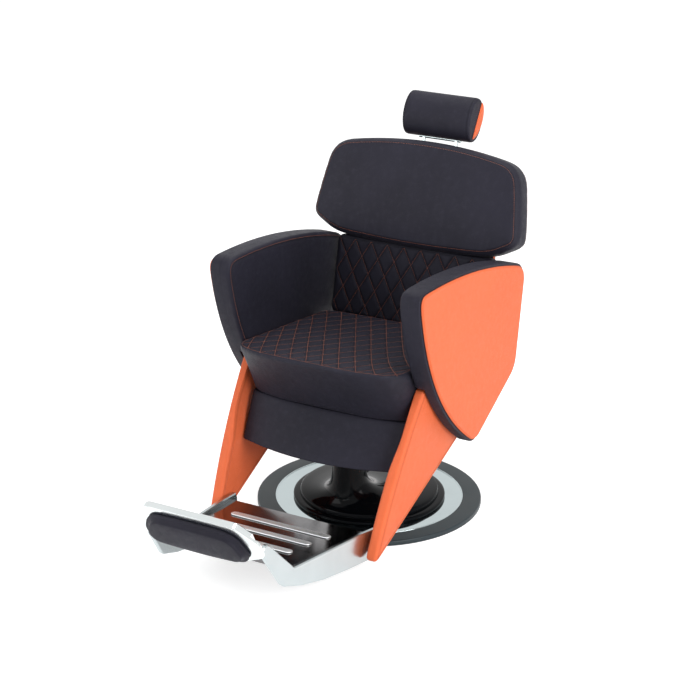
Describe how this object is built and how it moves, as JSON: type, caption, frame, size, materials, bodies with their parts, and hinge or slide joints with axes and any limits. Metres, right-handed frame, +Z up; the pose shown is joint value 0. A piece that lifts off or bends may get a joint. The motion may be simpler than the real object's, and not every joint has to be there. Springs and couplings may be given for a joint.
{
  "type": "hydraulic barber chair",
  "caption": "Upholstered barber chair that lifts, swivels and reclines on a pedestal pump, with a headrest, side legs, footrest and folding calf pad.",
  "frame": {"origin": "centre of the round base on the floor, under the base plate", "axes": "+Z up; the sitter faces -Y; +X is the sitter's left"},
  "size_m": [0.6928, 1.4688, 1.1598],
  "materials": {
    "dark_leather": "soft grained, sewn in diamonds on seat and lower back",
    "orange_leather": "soft grained",
    "chrome": "mirror plated",
    "polished": "polished casting",
    "gloss_black": "gloss",
    "ring_paint": "satin",
    "cast_iron": "raw underside",
    "frame_steel": "satin",
    "bright_steel": "machined",
    "plywood": "raw",
    "rubber": "matte",
    "black_plastic": "satin"
  },
  "bodies": {
    "base": {"base_plate": "cast_iron", "base_ring": "ring_paint", "base_disc": "chrome", "base_cover": "gloss_black", "pump_cylinder": "frame_steel", "pump_gland": "bright_steel", "pump_clamp": "bright_steel", "pedal_pin": "bright_steel"},
    "pump_pedal": {"pedal_lever": "chrome", "pedal_pad": "rubber"},
    "lift": {"lift_ram": "chrome"},
    "seat": {"swivel_hub": "frame_steel", "seat_frame": "frame_steel", "seat_pan": "plywood", "seat_cushion": "dark_leather", "arm_body_left": "dark_leather", "arm_body_right": "dark_leather", "arm_panel_left": "orange_leather", "arm_panel_right": "orange_leather", "side_leg_left": "orange_leather", "side_leg_right": "orange_leather", "leg_bracket_left": "frame_steel", "leg_bracket_right": "frame_steel", "arm_spacer_left": "black_plastic", "arm_spacer_right": "black_plastic", "skirt": "dark_leather", "skirt_bracket": "frame_steel", "footrest_cheek_left": "polished", "footrest_cheek_right": "polished", "footrest_boss_left": "polished", "footrest_boss_right": "polished", "footrest_tread": "polished", "grip_strip_1": "polished", "grip_strip_2": "polished", "grip_strip_3": "polished", "calf_pad_pin_left": "bright_steel", "calf_pad_pin_right": "bright_steel", "recline_ear_left": "frame_steel", "recline_ear_right": "frame_steel", "strut_anchor": "frame_steel", "strut_cylinder": "gloss_black", "handle_bracket": "frame_steel"},
    "back": {"lower_back_cushion": "dark_leather", "lower_back_board": "plywood", "upper_back_cushion": "dark_leather", "upper_back_board": "plywood", "back_frame": "frame_steel", "back_cover": "orange_leather", "recline_axle": "bright_steel", "headrest_guide": "black_plastic"},
    "strut_rod": {"strut_rod": "chrome"},
    "recline_handle": {"recline_handle": "frame_steel", "recline_knob": "black_plastic"},
    "headrest": {"headrest_posts": "chrome"},
    "headrest_roll": {"headrest_roll": "dark_leather", "headrest_cap_left": "orange_leather", "headrest_cap_right": "orange_leather"},
    "calf_pad": {"calf_pad_frame": "polished", "calf_pad": "dark_leather"}
  },
  "joints": [
    {"name": "pump_pedal", "type": "hinge", "parent": "base", "child": "pump_pedal", "pos_m": [0, -0.03, 0.1155], "axis": [-1, 0, 0], "range_deg": [0, 12], "stiffness_Nm_per_rad": 18, "springref_deg": -6.88},
    {"name": "height_lift", "type": "slide", "parent": "base", "child": "lift", "axis": [0, 0, 1], "range_m": [0, 0.16]},
    {"name": "seat_swivel", "type": "hinge", "parent": "lift", "child": "seat", "pos_m": [0, -0.125, 0.2827], "axis": [0, 0, 1], "continuous": true},
    {"name": "back_recline", "type": "hinge", "parent": "seat", "child": "back", "pos_m": [0, 0.235, 0.425], "axis": [-1, 0, 0], "range_deg": [0, 50]},
    {"name": "strut_slide", "type": "slide", "parent": "seat", "child": "strut_rod", "axis": [0, -1, 0], "range_m": [0, 0.08895]},
    {"name": "recline_release", "type": "hinge", "parent": "seat", "child": "recline_handle", "pos_m": [-0.291, 0.105, 0.322], "axis": [1, 0, 0], "range_deg": [0, 12], "stiffness_Nm_per_rad": 1, "springref_deg": -20.05},
    {"name": "headrest_height", "type": "slide", "parent": "back", "child": "headrest", "axis": [0, 0.3065, 0.9519], "range_m": [0, 0.1]},
    {"name": "headrest_tilt", "type": "hinge", "parent": "headrest", "child": "headrest_roll", "pos_m": [0, 0.43301, 1.03], "axis": [-1, 0, 0], "range_deg": [-25, 25]},
    {"name": "calf_pad_flip", "type": "hinge", "parent": "seat", "child": "calf_pad", "pos_m": [0, -0.894, 0.245], "axis": [-1, 0, 0], "range_deg": [0, 135]}
  ],
  "couplings": [
    {"joint": "strut_slide", "follows": "back_recline", "m_per_rad": 0.1017}
  ]
}
